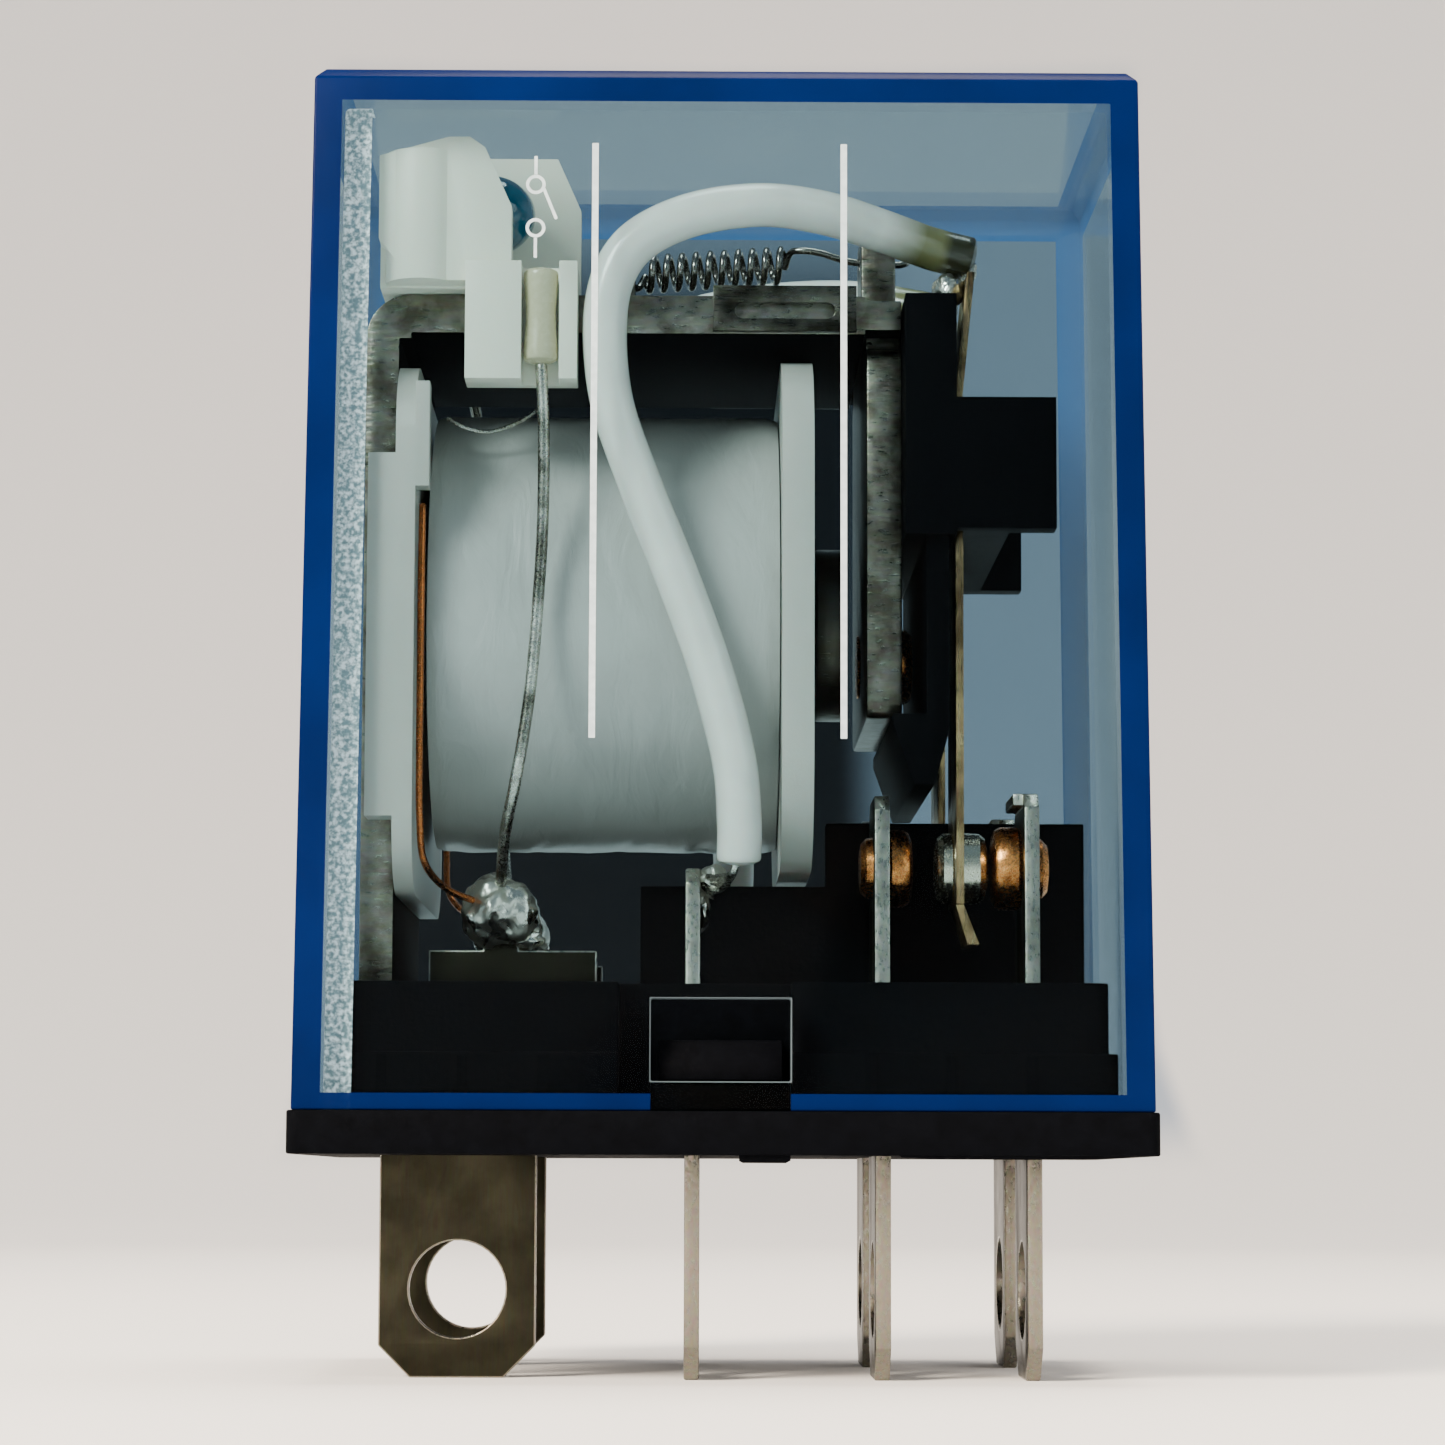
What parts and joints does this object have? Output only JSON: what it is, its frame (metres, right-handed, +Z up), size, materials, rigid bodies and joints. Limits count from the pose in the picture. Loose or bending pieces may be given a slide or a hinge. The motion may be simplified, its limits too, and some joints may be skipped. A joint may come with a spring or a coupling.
{
  "type": "plug-in power relay",
  "caption": "Plug-in changeover power relay with flat blades, a clear clip-on cover, an indicator lamp and a hinged armature that moves the contacts.",
  "frame": {"origin": "centre of the flange's underside, which seats on the socket", "axes": "+X along the coil from the coil blades to the contacts, +Y across the poles to the rear, +Z up through the cover"},
  "size_m": [0.028, 0.0216, 0.0429],
  "materials": {
    "black_base": "moulded, fine matte",
    "black_card": "moulded, matte",
    "clear_cover": "clear, blue tinted, polished",
    "plated_steel": "dull plated",
    "white_nylon": "moulded, satin",
    "copper_wire": "enamelled copper",
    "copper": "bare copper",
    "coil_tape": "wrapped film tape, satin",
    "tinned_brass": "tin plated, dull with bright edges",
    "spring_bronze": "rolled strip",
    "silver_alloy": "polished by use",
    "spring_steel": "drawn wire",
    "white_insulation": "soft gloss",
    "solder": "bright, uneven",
    "cream_plastic": "moulded, satin",
    "led_lens": "clear tinted resin",
    "resistor_coat": "lacquered",
    "tinned_wire": "tinned"
  },
  "bodies": {
    "chassis": {"base": "black_base", "yoke": "plated_steel", "hinge_clip": "plated_steel", "core": "plated_steel", "bobbin": "white_nylon", "coil_winding": "copper_wire", "coil_tape": "coil_tape", "return_spring": "spring_steel", "led_holder": "cream_plastic", "led": "led_lens", "resistor": "resistor_coat", "resistor_lead": "tinned_wire", "led_lead": "tinned_wire", "coil_terminal_front": "tinned_brass", "coil_terminal_rear": "tinned_brass", "common_terminal_front": "tinned_brass", "common_terminal_rear": "tinned_brass", "open_terminal_front": "tinned_brass", "open_terminal_rear": "tinned_brass", "closed_terminal_front": "tinned_brass", "closed_terminal_rear": "tinned_brass", "open_contact_front": "copper", "open_contact_rear": "copper", "closed_contact_front": "copper", "closed_contact_rear": "copper", "lead_wire_front": "white_insulation", "lead_wire_rear": "white_insulation", "common_solder_front": "solder", "common_solder_rear": "solder", "coil_lead_front": "copper_wire", "coil_lead_rear": "copper_wire", "coil_solder_front": "solder", "coil_solder_rear": "solder"},
    "cover": {"cover": "clear_cover"},
    "armature": {"armature": "plated_steel", "armature_rivet": "copper", "contact_card": "black_card", "contact_spring_front": "spring_bronze", "contact_spring_rear": "spring_bronze", "moving_contact_front": "silver_alloy", "moving_contact_rear": "silver_alloy", "spring_solder_front": "solder", "spring_solder_rear": "solder"}
  },
  "joints": [
    {"name": "armature_hinge", "type": "hinge", "parent": "chassis", "child": "armature", "pos_m": [0.00475, 0, 0.0274], "axis": [0, 1, 0], "range_deg": [0, 2.2], "stiffness_Nm_per_rad": 0.02, "springref_deg": -5.73, "deforming": ["return_spring", "lead_wire_front", "lead_wire_rear"]},
    {"name": "cover_lift", "type": "slide", "parent": "chassis", "child": "cover", "axis": [0, 0, 1], "range_m": [0, 0.036]}
  ]
}
